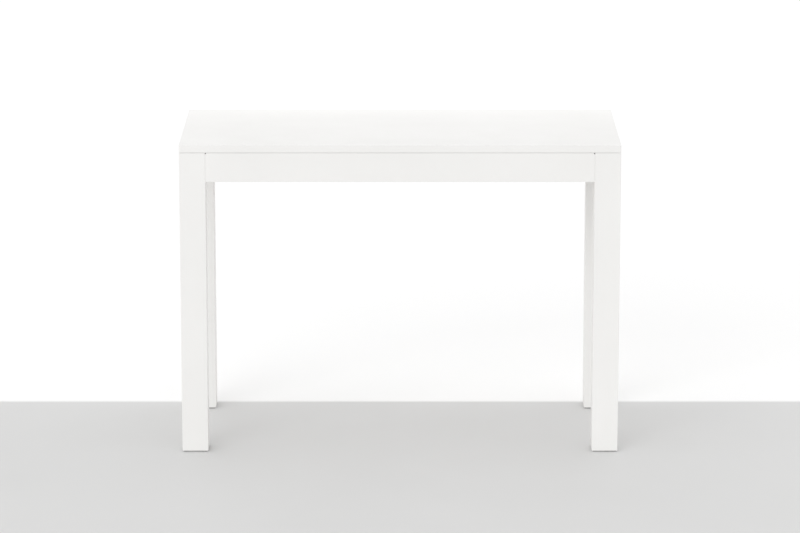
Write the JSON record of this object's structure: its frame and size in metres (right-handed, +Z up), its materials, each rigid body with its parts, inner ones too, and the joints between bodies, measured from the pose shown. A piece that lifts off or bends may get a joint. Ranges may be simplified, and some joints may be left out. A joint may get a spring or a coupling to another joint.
{
  "type": "extendable console table",
  "caption": "White console table on square legs with a flush apron; the front legs pull forward on runners and bring out a second top nested under the first.",
  "frame": {"origin": "on the floor under the centre of the closed table", "axes": "+X along the width to the right as seen from the front, +Y to the wall behind, +Z up"},
  "size_m": [1.08, 0.48, 0.775],
  "materials": {
    "white_melamine": "satin white melamine on board",
    "beech": "plain sanded beech",
    "steel": "zinc plated",
    "nylon": "natural",
    "felt": "grey felt"
  },
  "bodies": {
    "fixed_frame": {"top_panel": "white_melamine", "rear_left_leg": "white_melamine", "rear_right_leg": "white_melamine", "rear_apron": "white_melamine", "left_side_apron": "white_melamine", "right_side_apron": "white_melamine", "left_top_cleat": "beech", "right_top_cleat": "beech", "rear_top_cleat": "beech", "rear_left_corner_block": "beech", "rear_right_corner_block": "beech", "left_runner_outer": "steel", "right_runner_outer": "steel", "left_glide_strip": "nylon", "right_glide_strip": "nylon", "left_closing_buffer": "felt", "right_closing_buffer": "felt", "rear_left_foot_pad": "felt", "rear_right_foot_pad": "felt", "rear_left_apron_lower_dowel": "beech", "rear_left_apron_upper_dowel": "beech", "rear_right_apron_lower_dowel": "beech", "rear_right_apron_upper_dowel": "beech", "left_side_apron_lower_dowel": "beech", "left_side_apron_upper_dowel": "beech", "right_side_apron_lower_dowel": "beech", "right_side_apron_upper_dowel": "beech"},
    "pull_out_frame": {"front_left_leg": "white_melamine", "front_right_leg": "white_melamine", "front_apron": "white_melamine", "pull_out_top": "white_melamine", "left_carrier_rail": "white_melamine", "right_carrier_rail": "white_melamine", "back_stretcher": "beech", "centre_rib": "beech", "front_left_corner_block": "beech", "front_right_corner_block": "beech", "left_runner_inner": "steel", "right_runner_inner": "steel", "front_left_foot_pad": "felt", "front_right_foot_pad": "felt", "front_left_apron_lower_dowel": "beech", "front_left_apron_upper_dowel": "beech", "front_right_apron_lower_dowel": "beech", "front_right_apron_upper_dowel": "beech", "left_carrier_rail_lower_dowel": "beech", "left_carrier_rail_upper_dowel": "beech", "right_carrier_rail_lower_dowel": "beech", "right_carrier_rail_upper_dowel": "beech"},
    "left_runner_slide": {"left_runner_middle": "steel"},
    "right_runner_slide": {"right_runner_middle": "steel"}
  },
  "joints": [
    {"name": "table_extension", "type": "slide", "parent": "fixed_frame", "child": "pull_out_frame", "axis": [0, -1, 0], "range_m": [0, 0.3]},
    {"name": "left_runner_travel", "type": "slide", "parent": "fixed_frame", "child": "left_runner_slide", "axis": [0, -1, 0], "range_m": [0, 0.15]},
    {"name": "right_runner_travel", "type": "slide", "parent": "fixed_frame", "child": "right_runner_slide", "axis": [0, -1, 0], "range_m": [0, 0.15]}
  ],
  "couplings": [
    {"joint": "left_runner_travel", "follows": "table_extension", "ratio": 0.5},
    {"joint": "right_runner_travel", "follows": "table_extension", "ratio": 0.5}
  ]
}
